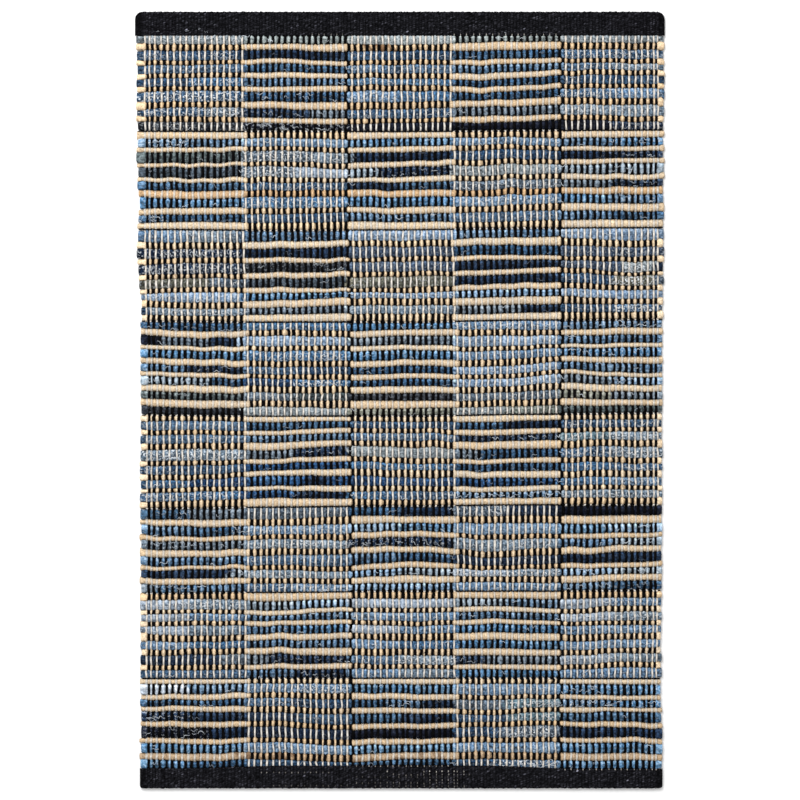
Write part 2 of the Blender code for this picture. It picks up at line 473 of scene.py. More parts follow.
LETTERS, MIDDLES, PICK_WIDTHS = draft()
PICKS, WARP_COUNT = len(LETTERS), len(WARPS)
DENIM_PICKS = [p for p, letter in enumerate(LETTERS) if letter in "Dd"]
JUTE_PICKS = [p for p, letter in enumerate(LETTERS) if letter in "Jj"]
DIVIDER_PICKS = [p for p, letter in enumerate(LETTERS) if letter == "b"]
ACROSS = np.linspace(-0.32, 0.32, 161)


def warp_crossings():
    """Where each warp crosses each pick, in X. One row for each pick."""
    rng = np.random.default_rng(11)
    table = np.array(COLUMN_LINES)
    lines = np.array([np.interp(MIDDLES, table[:, 0], column) for column in table[:, 1:].T]).T
    places = np.array([warp_line(row) for row in lines])
    own = rng.normal(0.0, WARP_OFF, WARP_COUNT)
    along = np.tile(MIDDLES, (WARP_COUNT, 1))
    slow = wave_noise(rng, WARP_COUNT, along, DRIFT_LENGTH).T * WARP_DRIFT
    slips = np.where(rng.random((PICKS, WARP_COUNT)) < SLIP_SHARE, SLIP_FACTOR, 1.0)
    jitter = rng.normal(0.0, 1.0, (PICKS, WARP_COUNT)) * by_warp(WARP_WANDER) * slips
    return np.sort(places + own + slow + jitter, axis=1)


def pick_lines():
    """The distance along and the half width of each pick, at the places ACROSS.

    A strip is thicker in some places than in others, and its neighbours give way to it.
    """
    rng = np.random.default_rng(12)
    across = np.tile(ACROSS, (PICKS, 1))
    uneven = sum(share * wave_noise(rng, PICKS, across, length) for share, length in PICK_UNEVEN)
    widths = PICK_WIDTHS[:, None] * (1.0 + uneven)
    widths[JUTE_PICKS] *= np.interp(ACROSS, *np.array(JUTE_DRAWN).T)
    centres = np.zeros_like(widths)
    first, start = 0, TOP_HEM
    for picks, length, sag in BLOCK_ROWS:
        row = slice(first, first + len(picks))
        widths[row] *= length / widths[row].sum(axis=0)
        centres[row] = start + np.cumsum(widths[row], axis=0) - widths[row] / 2
        first, start = first + len(picks), start + length
    centres += np.array([sag_at(ACROSS, middle) for middle in MIDDLES])
    widths[-1] -= hem_turn_in(ACROSS)
    centres[-1] -= hem_turn_in(ACROSS) / 2
    return centres, widths / 2


CROSSINGS = warp_crossings()
CENTRES, HALF_WIDTHS = pick_lines()
HALF_HEIGHTS = np.array([PICK_HALF_HEIGHT[letter] for letter in LETTERS])[:, None]
# A warp passes over a pick where the sum of their numbers is even.
OVER = (np.arange(PICKS)[:, None] + np.arange(WARP_COUNT)[None, :]) % 2 == 0


def kind_of(rows):
    """The kind of some picks, which are all alike: d, j or b."""
    return LETTERS[rows[0]].lower()


def interleave(at_warps, between):
    """Values at the warps and between them, in order across the rug."""
    out = np.empty((at_warps.shape[0], at_warps.shape[1] * 2 - 1))
    out[:, 0::2] = at_warps
    out[:, 1::2] = between
    return out


def with_middles(x):
    """Places and the middles between them, in order."""
    return interleave(x, (x[:, 1:] + x[:, :-1]) / 2)


def read_across(values, rows, x):
    """Values of some picks, known at the places ACROSS, at their places x."""
    return np.array([np.interp(row_x, ACROSS, values[p]) for row_x, p in zip(x, rows)])


def beside_black(rows):
    """Whether it is a black warp that holds a pick down beside each gap between two warps."""
    black = np.array([kind == "k" for kind in WARPS])
    return np.where(OVER[rows][:, :-1], black[:-1], black[1:])


def held_by_black(rows):
    """How far black warps, not cream ones, hold picks down, from 0 to 1, at the warps and between them."""
    between = beside_black(rows).astype(float)
    beside = np.pad(between, ((0, 0), (1, 1)), mode="edge")
    return interleave((beside[:, 1:] + beside[:, :-1]) / 2, between)


# ---------- meshes

# The bake map's margin for the ends of the tubes, and the size of their patches in it, as a share.
MAP_MARGIN = 0.004
MAP_PATCH = 0.4


def tube_faces(tubes, rings, sides):
    """Corner numbers of the tubes' walls and ends, where points are numbered tube by tube, ring by ring."""
    number = np.arange(tubes * rings * sides).reshape(tubes, rings, sides)
    ahead = np.roll(number, -1, axis=2)
    walls = np.stack([number[:, :-1], ahead[:, :-1], ahead[:, 1:], number[:, 1:]], axis=-1).reshape(-1, 4)
    ends = np.concatenate([number[:, 0, ::-1], number[:, -1, :]])
    return walls, ends


def tube_map(tubes, rings, sides):
    """The bake map: a level strip for each tube, one lane for each side, and a small patch for each end."""
    along = MAP_MARGIN + (1.0 - 2.0 * MAP_MARGIN) * np.arange(rings) / (rings - 1)
    lane = 1.0 / (tubes * sides)
    low = (np.arange(tubes)[:, None, None] * sides + np.arange(sides)[None, None, :]) * lane
    low = np.broadcast_to(low, (tubes, rings - 1, sides))
    left = np.broadcast_to(along[:-1, None], low.shape)
    right = np.broadcast_to(along[1:, None], low.shape)
    high = low + lane
    walls = np.stack([left, low, left, high, right, high, right, low], axis=-1).reshape(-1, 2)
    turn = 2.0 * np.pi * np.arange(sides) / sides
    middle = (np.arange(tubes)[:, None] + 0.5) * sides * lane
    patch_v = middle + MAP_PATCH * sides * lane * np.sin(turn)
    patch_u = np.broadcast_to(MAP_MARGIN * (0.5 + MAP_PATCH * np.cos(turn)), patch_v.shape)
    starts = np.stack([patch_u, patch_v], axis=-1).reshape(-1, 2)
    finishes = np.stack([1.0 - patch_u, patch_v], axis=-1).reshape(-1, 2)
    return np.concatenate([walls, starts, finishes])


def tube_mesh(name, points, shades):
    """One mesh of closed tubes from points[tube, ring, side], with a colour for each point."""
    tubes, rings, sides = points.shape[:3]
    walls, ends = tube_faces(tubes, rings, sides)
    corners = np.concatenate([walls.ravel(), ends.ravel()]).astype(np.int32)
    totals = np.concatenate([np.full(len(walls), 4), np.full(len(ends), sides)])
    mesh = bpy.data.meshes.new(name)
    mesh.vertices.add(tubes * rings * sides)
    mesh.vertices.foreach_set("co", points.astype(np.float32).ravel())
    mesh.loops.add(len(corners))
    mesh.loops.foreach_set("vertex_index", corners)
    mesh.polygons.add(len(totals))
    mesh.polygons.foreach_set("loop_start", np.concatenate([[0], np.cumsum(totals)[:-1]]).astype(np.int32))
    mesh.update(calc_edges=True)
    mesh.shade_smooth()
    bake = mesh.uv_layers.new(name="OFBake")
    bake.uv.foreach_set("vector", tube_map(tubes, rings, sides).astype(np.float32).ravel())
    colour = np.ones(points.shape[:3] + (4,), np.float32)
    colour[..., : shades.shape[-1]] = np.clip(shades, 0.0, 1.0)
    mesh.color_attributes.new("shade", "FLOAT_COLOR", "POINT").data.foreach_set("color", colour.ravel())
    return mesh


def even_shades(points, colour, variation, seed):
    """One colour for all points, a little brighter or darker from point to point."""
    rng = np.random.default_rng(seed)
    return linear(colour) * varied(rng, variation, points.shape[:3])[..., None]


def add_object(name, data):
    """Puts an object in the scene."""
    item = bpy.data.objects.new(name, data)
    bpy.context.scene.collection.objects.link(item)
    return item


def add_tubes(name, points, shades, material):
    """Puts one mesh of tubes in the scene as a piece of the rug."""
    mesh = tube_mesh(name, points, shades)
    mesh.materials.append(material)
    piece = add_object(name, mesh)
    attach(piece, "root")
    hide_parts("rug")
    return piece


# ---------- picks


def loop_rings(rows, side, edge_x, edge_lift):
    """The rings of some picks' loops, outwards. side is -1 for the left and 1 for the right.

    Each has an X, a share of the width and of the height, a lift, and a distance off its pick's middle.
    """
    rng = np.random.default_rng(300 + int(rows[0]) + side)
    kind = kind_of(rows)
    which = 0 if side < 0 else 1
    out, high, drop = np.array(LOOP_RINGS).T
    reach = reach_at(MIDDLES[rows])[which] + rng.uniform(*LOOP_UNEVEN[kind], len(rows))
    fan = rng.uniform(*LOOP_FAN[kind], (len(rows), 1))
    x = edge_x[:, None] + (side * reach[:, None] - edge_x[:, None]) * out
    wide = np.array(LOOP_WIDTHS[kind][which]) * fan
    lift = edge_lift[:, None] * (1.0 - out) - drop
    off = rng.normal(0.0, LOOP_OFF, (len(rows), 1)) * out
    return x, wide, np.tile(high, (len(rows), 1)), lift, off


def pick_frame(rows):
    """The rings of some picks: their X, distance along, centre height, half width and half height.

    Each array has a row for each pick and a column for each ring, from the left loop to the right one.
    """
    rng = np.random.default_rng(13 + int(rows[0]))
    over = OVER[rows]
    black = beside_black(rows)
    black_share = held_by_black(rows)
    between_wide = np.where(black, BETWEEN_WIDTH["k"], BETWEEN_WIDTH["c"])
    between_drop = np.where(black, BETWEEN_DROP["k"], BETWEEN_DROP["c"])
    swell = varied(rng, blend(*BEAD_UNEVEN[kind_of(rows)], black_share[:, 0::2]), over.shape)
    wide = interleave(np.where(over, by_warp(HELD_WIDTH), FREE_WIDTH * swell), between_wide)
    wide *= blend(*SPREAD[kind_of(rows)], black_share)
    high = interleave(np.where(over, HELD_HEIGHT, FREE_HEIGHT), BETWEEN_HEIGHT)
    lift = interleave(np.where(over, -CRIMP, CRIMP), -CRIMP * between_drop)

    x = with_middles(CROSSINGS[rows])
    left = [ring[:, ::-1] for ring in loop_rings(rows, -1, x[:, 0], lift[:, 0])]
    right = loop_rings(rows, 1, x[:, -1], lift[:, -1])
    middle = (x, wide, high, lift, np.zeros_like(lift))
    x, wide, high, lift, off = (np.concatenate(parts, axis=1) for parts in zip(left, middle, right))

    centre = read_across(CENTRES, rows, x) + off
    half = read_across(HALF_WIDTHS, rows, x) * wide * PICK_OVERLAP
    plump = 1.0 + PLUMP_UNEVEN * wave_noise(rng, len(rows), x, PLUMP_LENGTH)
    return x, centre, MIDPLANE + lift, half, HALF_HEIGHTS[rows] * high * plump


def pick_points(rows, seed):
    """Points of some picks' tubes, and how far each is sunk into a crease, as a share of the height."""
    rng = np.random.default_rng(seed)
    kind = kind_of(rows)
    section = np.array(SECTIONS[kind])
    rings_x, centre, height, half_width, half_height = pick_frame(rows)
    shape = rings_x.shape + (len(section),)
    uneven = 1.0 + SECTION_ROUGH[kind] * rng.normal(0.0, 1.0, shape)
    waves = CREASE_SHARE + wave_noise(rng, len(rows), rings_x, CREASE_LENGTH)
    on_top = section[:, 1] == section[:, 1].max()
    sunk = CREASE[kind] * np.clip(waves, 0.0, 1.0)[..., None] * on_top
    x = rings_x[..., None] + rng.normal(0.0, RING_ROUGH, shape)
    y = LENGTH / 2 - centre[..., None] + half_width[..., None] * section[:, 0] * uneven
    z = height[..., None] + half_height[..., None] * (section[:, 1] * uneven - sunk)
    return np.stack([x, y, np.maximum(z, LOWEST)], axis=-1), sunk


def with_loops(values):
    """Values at the rings between the first warp and the last, carried on over the loops."""
    spare = len(LOOP_RINGS)
    return np.pad(values, ((0, 0), (spare, spare)), mode="edge")


def strip_light(rows, sunk):
    """Painted light and shade on each point of some picks, as their beads are round.

    There is painted shade deep between two picks and in a crease.
    """
    kind = kind_of(rows)
    beside_cream, between_cream, beside_dark, between_dark = BEAD_LIGHT[kind]
    swell = interleave(np.where(OVER[rows], 0.0, 1.0), 0.0)
    cream = blend(beside_cream, between_cream, swell)
    dark = blend(beside_dark, between_dark, swell)
    beads = with_loops(blend(cream, dark, held_by_black(rows)))
    y, z = np.array(SECTIONS[kind]).T
    across = np.interp(y, RIMS, ACROSS_LIGHT[kind])
    across *= np.interp(z, (0.0, LIT_HEIGHT), (DEEP_LIGHT[kind], 1.0))
    return beads[..., None] * across * np.exp(-CREASE_SHADE * sunk)


def mottle(rng, kind, x):
    """How brightly each point of some picks shows by chance, and the slow part of that along each pick."""
    fine, broad, length = STRIP_MOTTLE[kind]
    slow = wave_noise(rng, len(x), x[:, :, 0], length)[..., None]
    return varied(rng, fine, x.shape) * np.exp(broad * slow), slow


def rag_list(text):
    """The rags of one denim pick in turn: the X where each ends, its colour and its degree of fray."""
    names, ends = zip(*(token.split(":") for token in text.split()))
    ends = (np.array(ends, float) / 10.0 - 0.5) * WIDTH
    colours = linear([WASHES[name.rstrip("+")] for name in names])
    return ends, colours, np.array([name.count("+") for name in names])


def rag_line(rng, text, x):
    """The colour of each point of one denim pick and how strongly it is flecked with white.

    Its rags lie in turn, each with its paler back folded into view in places.
    """
    ends, front, fray = rag_list(text)
    which = np.clip(np.searchsorted(ends, x + rng.normal(0.0, RAG_END_ROUGH, x.shape)), 0, len(ends) - 1)
    strength = rng.uniform(*BACK_STRENGTH, len(front))
    fold = rng.uniform(-np.pi, np.pi) + FOLD_TURN * wave_noise(rng, 1, x[:, 0][None], FOLD_LENGTH)[0]
    y, z = np.array(SECTIONS["d"]).T
    show = np.interp(np.cos(np.arctan2(z, y) - fold[:, None]), FOLD_EDGE, (0.0, 1.0)) * strength[which]
    colour = blend(front[which], (front**BACK_POWER)[which], show[..., None])
    flecks, least = np.array(FLECKED)[fray].T
    flecked = flecks * np.clip(front[:, 1] / DARK, least, 1.0)
    return np.concatenate([colour, flecked[which][..., None]], axis=-1)


def rag_shades(rows, x, sunk, seed):
    """Each denim point's colour, painted light and shade included, and how strongly it is flecked white."""
    rng = np.random.default_rng(seed)
    shades = np.array([rag_line(rng, RAGS[DENIM_PICKS.index(p)], row_x) for p, row_x in zip(rows, x)])
    bright, slow = mottle(rng, "d", x)
    # Painted shade where cream warps press the rags flat, painted light where they swell between black ones.
    light = blend(*np.array(RAG_LIGHT), with_loops(held_by_black(rows))[..., None])
    shades[..., :3] *= light[:, :, None, :] * (bright * strip_light(rows, sunk))[..., None]
    return shades


def jute_shades(rows, x, sunk, seed):
    """Each jute point's colour, with the odd brown fibre, the stains, and painted light and shade."""
    rng = np.random.default_rng(seed)
    tones = JUTE_CHART.replace(" ", "")
    numbers = [JUTE_PICKS.index(p) for p in rows]
    tone = linear([JUTE_TONES[tones[number]] for number in numbers])
    bright, slow = mottle(rng, "j", x)
    warm = 1.0 - slow[..., None] * np.array(JUTE_WARMTH)
    shades = tone[:, None, None, :] * bright[..., None] * warm
    brown = np.where(rng.random(x.shape) < BROWN_FIBRES, BROWN_STRENGTH, 0.0)
    for number, left, right, share, strength in STAINS:
        if number in numbers:
            there = x[numbers.index(number)]
            sides = there.shape[1]
            patchy = wave_noise(rng, sides, np.tile(there[:, 0], (sides, 1)), STAIN_LENGTH).T
            stained = (there > left) & (there < right) & (patchy > WAVE_SPREAD * (1.0 - 2.0 * share))
            brown[numbers.index(number)][stained] = strength
    shades = blend(shades, linear(STAIN_BROWN), brown[..., None])
    # Painted light and shade, browner in the shade.
    light = strip_light(rows, sunk)[..., None]
    return shades * np.maximum(light, 1.0) * np.minimum(light, 1.0) ** np.array(JUTE_DEPTHS)


def build_strips(name, picks, shades_of, material, seeds):
    """The picks of one kind in two halves, as each piece has a limit on its faces."""
    middle = (len(picks) + 1) // 2
    pieces = []
    for number, (part, half) in enumerate((("_upper", picks[:middle]), ("_lower", picks[middle:]))):
        rows = np.array(half)
        points, sunk = pick_points(rows, seeds[0] + number)
        shades = shades_of(rows, points[..., 0], sunk, seeds[1] + number)
        pieces.append(add_tubes(name + part, points, shades, material))
    return pieces


def build_dividers(material):
    """The thin black picks between the rows of blocks."""
    points = pick_points(np.array(DIVIDER_PICKS), 61)[0]
    shades = even_shades(points, BLACK_COLOUR, 0.1, 62)
    return add_tubes("divider_picks", points, shades, material)


# ---------- warps


def in_warp_order(slots):
    """Values in slots[pick, warp, slot] as rings[warp, ring].

    A warp has three rings over a pick and two under one, so all have the same number.
    """
    kept = np.ones((WARP_COUNT, PICKS, 3), bool)
    kept[:, :, 1] = OVER.T
    ordered = np.moveaxis(slots, 0, 1)
    return np.stack([ordered[w][kept[w]] for w in range(WARP_COUNT)])


def warp_centres():
    """The centre line of every warp: centre[warp, ring, 3]."""
    rng = np.random.default_rng(14)
    centre, half = (read_across(values, range(PICKS), CROSSINGS) for values in (CENTRES, HALF_WIDTHS))
    own = by_warp(WARP_HALF_THICKNESS) * WARP_STAND
    held = half * by_warp(HELD_WIDTH)
    lean = rng.normal(0.0, 1.0, (PICKS, WARP_COUNT)) * by_warp(WARP_LEAN)
    lean += LEAN_TOGETHER * wave_noise(rng, PICKS, CROSSINGS, LEAN_LENGTH)
    slots = np.empty((PICKS, WARP_COUNT, 3, 3))
    for slot, side in enumerate((-1.0, 0.0, 1.0)):
        out = np.where(OVER, *WARP_BEND) * side
        rise = HALF_HEIGHTS * np.sqrt(1.0 - out**2)
        over_z = MIDPLANE - CRIMP + rise * HELD_HEIGHT + own
        under_z = MIDPLANE + CRIMP - rise - own
        slots[:, :, slot, 0] = CROSSINGS + lean * side + rng.normal(0.0, WARP_ROUGH, lean.shape)
        slots[:, :, slot, 1] = LENGTH / 2 - centre - out * np.where(OVER, held, half)
        slots[:, :, slot, 2] = np.where(OVER, over_z, under_z)
    return in_warp_order(slots)


def warp_widths():
    """Half the width of every warp at each of its rings."""
    rng = np.random.default_rng(15)
    places = [letter.lower() for letter in LETTERS] + ["under"]
    table = [by_warp({kind: widths[place] for kind, widths in WARP_HALF_WIDTH.items()}) for place in places]
    widths = np.where(OVER, table[:-1], table[-1]) * varied(rng, WARP_UNEVEN, OVER.shape)
    return in_warp_order(np.repeat(widths[:, :, None], 3, axis=2))


def into_hems(centre, widths):
    """The warps' centre lines and widths with both ends carried on into the hem bands."""
    first, last = centre[:, :1].copy(), centre[:, -1:].copy()
    first[..., 1] = LENGTH / 2 - TOP_HEM + WARP_TUCK
    last[..., 1] = -LENGTH / 2 + BOTTOM_HEM - WARP_TUCK
    first[..., 2] = last[..., 2] = HEM_FACE / 2
    return np.concatenate([first, centre, last], axis=1), np.pad(widths, ((0, 0), (1, 1)), mode="edge")


def warp_points(centre, widths, half_thickness):
    """Tubes of a flattened section around some centre lines."""
    ahead = np.gradient(centre, axis=1)
    ahead[..., 0] = 0.0
    ahead /= np.linalg.norm(ahead, axis=-1, keepdims=True)
    up = np.stack([np.zeros_like(ahead[..., 0]), ahead[..., 2], -ahead[..., 1]], axis=-1)
    up *= np.sign(up[..., 2:])
    side = np.array([1.0, 0.0, 0.0]) * widths[..., None]
    offsets = [side * wide + up * high * half_thickness for wide, high in WARP_SECTION]
    points = np.stack([centre + offset for offset in offsets], axis=2)
    points[..., 2] = np.maximum(points[..., 2], LOWEST)
    return points


def warp_light():
    """Painted crown shade and the tint over jute at each ring of every warp, in red, green and blue."""
    light = np.ones((PICKS, WARP_COUNT, 3, 3)) * np.array(CROWN_LIGHT)[:, None]
    over_jute = OVER & np.array([letter in "Jj" for letter in LETTERS])[:, None]
    light = np.where(over_jute[:, :, None, None], light * PRESSED_LIGHT, light)
    return np.pad(in_warp_order(light), ((0, 0), (1, 1), (0, 0)), mode="edge")


def build_warps(kind, name, colour, variation, material, seed):
    own = np.array([kind == other for other in WARPS])
    centre, widths = into_hems(warp_centres()[own], warp_widths()[own])
    points = warp_points(centre, widths, WARP_HALF_THICKNESS[kind])
    # Painted shade where each warp dips off a pick's crown.
    shades = even_shades(points, colour, variation, seed) * warp_light()[own][:, :, None, :]
    return add_tubes(name, points, shades, material)


# ---------- hems

HEM_BANDS = (
    # name, length, corner radius, which end, how worn
    ("top_hem", TOP_HEM, TOP_CORNER_RADIUS, 1, 1.0),
    ("bottom_hem", BOTTOM_HEM, BOTTOM_CORNER_RADIUS, -1, 1.25),
)
# Where a band has sections beyond the outer warps, inwards from each side, and how it thins out there.
HEM_SIDE_STEPS = np.array([0.0, 0.0004, 0.0012, 0.0030, 0.0050, 0.0070])
HEM_ROUNDING = 0.0030
HEM_THINNEST = 0.25
# A section's lip at the rug's end, as distances from there and shares of the height. Its face follows, with a
# point for each fine pick from the face's start to a little past the band's length, and then its back.
HEM_LIP = ((0.0, 0.50), (0.0006, 0.85))
HEM_PICK = 0.00115
HEM_FACE_START = 0.0018
HEM_OVERLAP = 0.0006
HEM_HEEL = 0.0012
# The humps of its picks over the warps: their height and how much every second one differs, how far the rest
# is sunk, and the roughness.
HEM_HUMP = (0.00050, 0.00022)
HEM_SINK = 0.0002
HEM_ROUGH = 0.00010
# The scallops along the rug's end: how deep, how rough, and how far in they reach.
SCALLOP = 0.00045
SCALLOP_ROUGH = 0.00018
SCALLOP_REACH = 0.002
# Painted shade on the band's back and lip and between its humps, painted highlight on the humps with every
# second one's difference; how much that varies at random; and the share of lint and its brightness.
HEM_BACK_SHADE = 0.4
HEM_HOLLOW_SHADE = 0.26
HUMP_HIGHLIGHT = (0.60, 0.40)
HEM_MOTTLE = 0.70
LINT_SHARE = 0.012
LINT_LIGHT = 5.0
# Where cream warps show through a hem band, as small dots.
HEM_DOTS = (
    # 1 for the +Y band and -1 for the other, distance from that end, from and to across the rug, how clear
    (1, 0.0272, -0.108, -0.064, 0.55),
    (1, 0.0272, 0.062, 0.184, 0.85),
    (-1, 0.0187, -0.168, -0.078, 0.60),
    (-1, 0.0034, -0.155, -0.056, 0.40),
    (-1, 0.0266, -0.052, 0.062, 1.00),
    (-1, 0.0200, -0.022, -0.008, 0.85),
    (-1, 0.0200, 0.028, 0.075, 0.95),
    (-1, 0.0164, -0.010, 0.085, 0.60),
    (-1, 0.0136, -0.052, 0.070, 0.40),
    (-1, 0.0100, 0.030, 0.070, 0.65),
    (-1, 0.0064, -0.052, 0.070, 0.50),
    (-1, 0.0028, -0.030, 0.075, 0.50),
    (-1, 0.0226, 0.190, 0.302, 0.95),
)
DOT_HALF_LENGTH = 0.0012
DOT_HALF_WIDTH = 0.0008
DOT_TIP = 0.35
DOT_OFF = 0.0002
DOT_LIGHT = (0.4, 1.0)


def hem_section(length):
    """A band's section, as distances and shares of its height, and which of them are its face."""
    steps = int(round(length / HEM_PICK))
    face = [(distance, 1.0) for distance in np.linspace(HEM_FACE_START, length + HEM_OVERLAP, steps)]
    back = [(length, 0.5), (length, 0.05), (length * 0.5, 0.0), (HEM_HEEL, 0.05)]
    distance, share = np.array([*HEM_LIP, *face, *back]).T
    return distance, share, slice(len(HEM_LIP), len(HEM_LIP) + steps)


def hem_places(sign, radius):
    """Where a band's sections are across the rug, how far its corners draw them in, and how thin they are."""
    left, right = reach_at(0.0 if sign > 0 else LENGTH)
    crossings = with_middles(CROSSINGS[[0 if sign > 0 else PICKS - 1]])[0]
    x = np.concatenate([-left + HEM_SIDE_STEPS, crossings, right - HEM_SIDE_STEPS[::-1]])
    inset = np.minimum(x + left, right - x)
    drawn_in = radius - np.sqrt(radius**2 - (radius - np.clip(inset, 0.0, radius)) ** 2)
    share = np.clip(inset / HEM_ROUNDING, 0.0, 1.0)
    return x, drawn_in[:, None], np.maximum(np.sqrt(share * (2.0 - share)), HEM_THINNEST)[:, None]


def hem_outline(length, radius, sign, seed):
    """A hem band as one closed tube across the rug, and the painted light, mottle and lint at each point.

    Its face has fine humps where picks pass over warps. sign is 1 for the +Y band and -1 for the other one.
    """
    rng = np.random.default_rng(seed)
    x, drawn_in, thin = hem_places(sign, radius)
    distance, share, face = hem_section(length)
    edge = len(HEM_SIDE_STEPS)
    on_warp = np.zeros((len(x), 1))
    on_warp[edge:-edge:2] = 1.0
    number = np.arange(len(x))[:, None] // 2
    turn = np.where((number + np.arange(face.stop - face.start)) % 2 == 0, 1.0, -1.0)

    height, difference = HEM_HUMP
    humps = np.zeros((len(x), len(distance)))
    rough = rng.normal(0.0, HEM_ROUGH, turn.shape)
    humps[:, face] = on_warp * (height + difference * turn) - HEM_SINK + rough
    scallops = SCALLOP * on_warp * (number % 2) + rng.normal(0.0, SCALLOP_ROUGH, (len(x), 1))
    scallops = scallops * np.clip(1.0 - distance / SCALLOP_REACH, 0.0, 1.0)
    turned_in = np.where(sign < 0, hem_turn_in(x), 0.0)[:, None] * distance / length
    along = distance + turned_in + drawn_in * np.clip(1.0 - distance / length, 0.0, 1.0) - scallops
    middle = HEM_FACE / 2
    z = middle + (share * HEM_FACE + humps - middle) * thin
    x = np.broadcast_to(x[:, None], z.shape)
    points = np.stack([x, sign * (LENGTH / 2 - along), np.maximum(z, 0.0)], axis=-1)[None]

    # Painted shade on the back, lip and hollows, painted highlight on the humps; then random mottle and lint.
    lit = np.full(points.shape[:3], HEM_BACK_SHADE)
    bright, difference = HUMP_HIGHLIGHT
    lit[0, :, face] = HEM_HOLLOW_SHADE + on_warp * (bright + difference * turn)
    lit *= varied(rng, HEM_MOTTLE, lit.shape)
    lit[rng.random(lit.shape) < LINT_SHARE] *= LINT_LIGHT
    if sign > 0:
        points, lit = points[:, :, ::-1], lit[:, :, ::-1]
    return points, lit


def build_hems(material):
    pieces = []
    for name, length, radius, sign, worn in HEM_BANDS:
        points, lit = hem_outline(length, radius, sign, 70 + sign)
        shades = linear(HEM_COLOUR) * worn * lit[..., None]
        pieces.append(add_tubes(name, points, shades, material))
    return pieces


def build_hem_dots(material):
    """Short humps of cream warp on the hem bands."""
    rng = np.random.default_rng(91)
    middles, brightness = [], []
    for sign, distance, left, right, clear in HEM_DOTS:
        for x, kind in zip(CROSSINGS[0 if sign > 0 else PICKS - 1], WARPS):
            if kind == "c" and left < x < right:
                y = sign * (LENGTH / 2 - distance) + rng.normal(0.0, DOT_OFF)
                middles.append((x + rng.normal(0.0, DOT_OFF), y, HEM_FACE))
                brightness.append(clear**2 * rng.uniform(*DOT_LIGHT))
    ring = np.array([-1.0, 0.0, 1.0])[:, None]
    size = np.array([DOT_TIP, 1.0, DOT_TIP])[:, None]
    centre = np.array(middles)[:, None, :] + ring * (0.0, DOT_HALF_LENGTH, 0.0)
    offsets = [np.array([-wide, 0.0, high]) * DOT_HALF_WIDTH for wide, high in SECTIONS["b"]]
    points = np.stack([centre + size * offset for offset in offsets], axis=2)
    shades = even_shades(points, CREAM_COLOUR, 0.05, 92) * np.array(brightness)[:, None, None, None]
    return add_tubes("hem_dots", points, shades, material)


# ---------- frayed threads

THREAD_RINGS = 9
THREAD_HALF_WIDTH = (0.00024, 0.00042)
# A thread's section, as shares of its half width sideways and up, and its half width at its tips.
THREAD_SECTION = ((-1.0, -0.5), (1.0, -0.5), (0.0, 0.8))
THREAD_TIP = 0.4
THREAD_MOTTLE = 0.18
THREAD_PALE = (0.5, 1.0)
# How high threads lie over the midplane on a crown, how much higher by chance, and how far out they go.
THREAD_LIFT = 0.0037
THREAD_LOOSE = 0.0004
THREAD_REACH = 0.29
# In half widths of the pick: how far off its middle they lie, their furthest point, and their dome's end.
THREAD_OFF = 0.75
THREAD_LIMIT = 1.2
DOME_END = 1.3
DOME_LEAST = 0.05
# A curl's step, how fast it bends and how far it turns, and how uneven its heading and its turns are.
CURL_STEP = (0.0007, 0.0017)
CURL_BEND = (0.7, 1.5)
CURL_TURN = (0.5, 1.4)
CURL_HEADING_OFF = 0.3
CURL_TURN_OFF = 0.35
# Curls of thread at the foot of the +Y hem: across the rug, and the distance from that end.
HEM_CURLS = ((-0.281, 0.0235), (-0.246, 0.0230), (-0.233, 0.0205), (-0.224, 0.0240), (0.1215, 0.0252))
HEM_CURL_HALF_WIDTH = 0.00013
HEM_CURL_SIZE = 0.5
HEM_CURL_LIFT = 0.0006


def curl(rng, across):
    """One loose thread that curls along a pick: its X, and its distance off its middle."""
    step = rng.uniform(*CURL_STEP)
    heading = rng.choice([0.0, np.pi]) + rng.normal(0.0, CURL_HEADING_OFF)
    bend = np.arange(THREAD_RINGS) * rng.uniform(*CURL_BEND) + rng.uniform(0.0, 2.0 * np.pi)
    turn = heading + rng.uniform(*CURL_TURN) * np.sin(bend) + rng.normal(0.0, CURL_TURN_OFF, THREAD_RINGS)
    off = np.cumsum(np.sin(turn)) * step
    return across + np.cumsum(np.cos(turn)) * step, off - off.mean()


def laid_thread(rng, p, across):
    """The centre line of one loose thread that lies on a denim pick."""
    x, off = curl(rng, across)
    half = np.interp(x, ACROSS, HALF_WIDTHS[p])
    off = off + rng.uniform(-THREAD_OFF, THREAD_OFF) * half
    off = np.clip(off, -THREAD_LIMIT * half, THREAD_LIMIT * half)
    along = np.interp(x, ACROSS, CENTRES[p]) + off
    domed = np.sqrt(np.clip(1.0 - (off / (DOME_END * half)) ** 2, DOME_LEAST, 1.0))
    z = MIDPLANE + THREAD_LIFT * domed + rng.uniform(0.0, THREAD_LOOSE)
    return np.stack([x, LENGTH / 2 - along, z], axis=-1)


def thread_centres():
    """The centre lines of the loose threads on the denim and at the hem's foot, and the colour of each."""
    rng = np.random.default_rng(81)
    white = linear(THREAD_WHITE)
    centres, colours = [], []
    for p, text in zip(DENIM_PICKS, RAGS):
        ends, rags, fray = rag_list(text)
        starts = np.concatenate([[-WIDTH / 2], ends[:-1]])
        for start, end, rag, degree in zip(starts, ends, rags, fray):
            threads, least = THREADS[degree]
            for _ in range(int(round(threads * (end - start) / WIDTH * 10.0))):
                across = np.clip(rng.uniform(start, end), -THREAD_REACH, THREAD_REACH)
                centres.append(laid_thread(rng, p, across))
                pale = np.clip(rag[1] / DARK, least, 1.0) * rng.uniform(*THREAD_PALE)
                colours.append(blend(rag, white, pale))
    for across, distance in HEM_CURLS:
        x, off = curl(rng, across)
        x = across + (x - across) * HEM_CURL_SIZE
        z = np.full(THREAD_RINGS, HEM_FACE + HEM_CURL_LIFT)
        centres.append(np.stack([x, LENGTH / 2 - distance - off * HEM_CURL_SIZE, z], axis=-1))
        colours.append(white)
    return np.array(centres), np.array(colours)


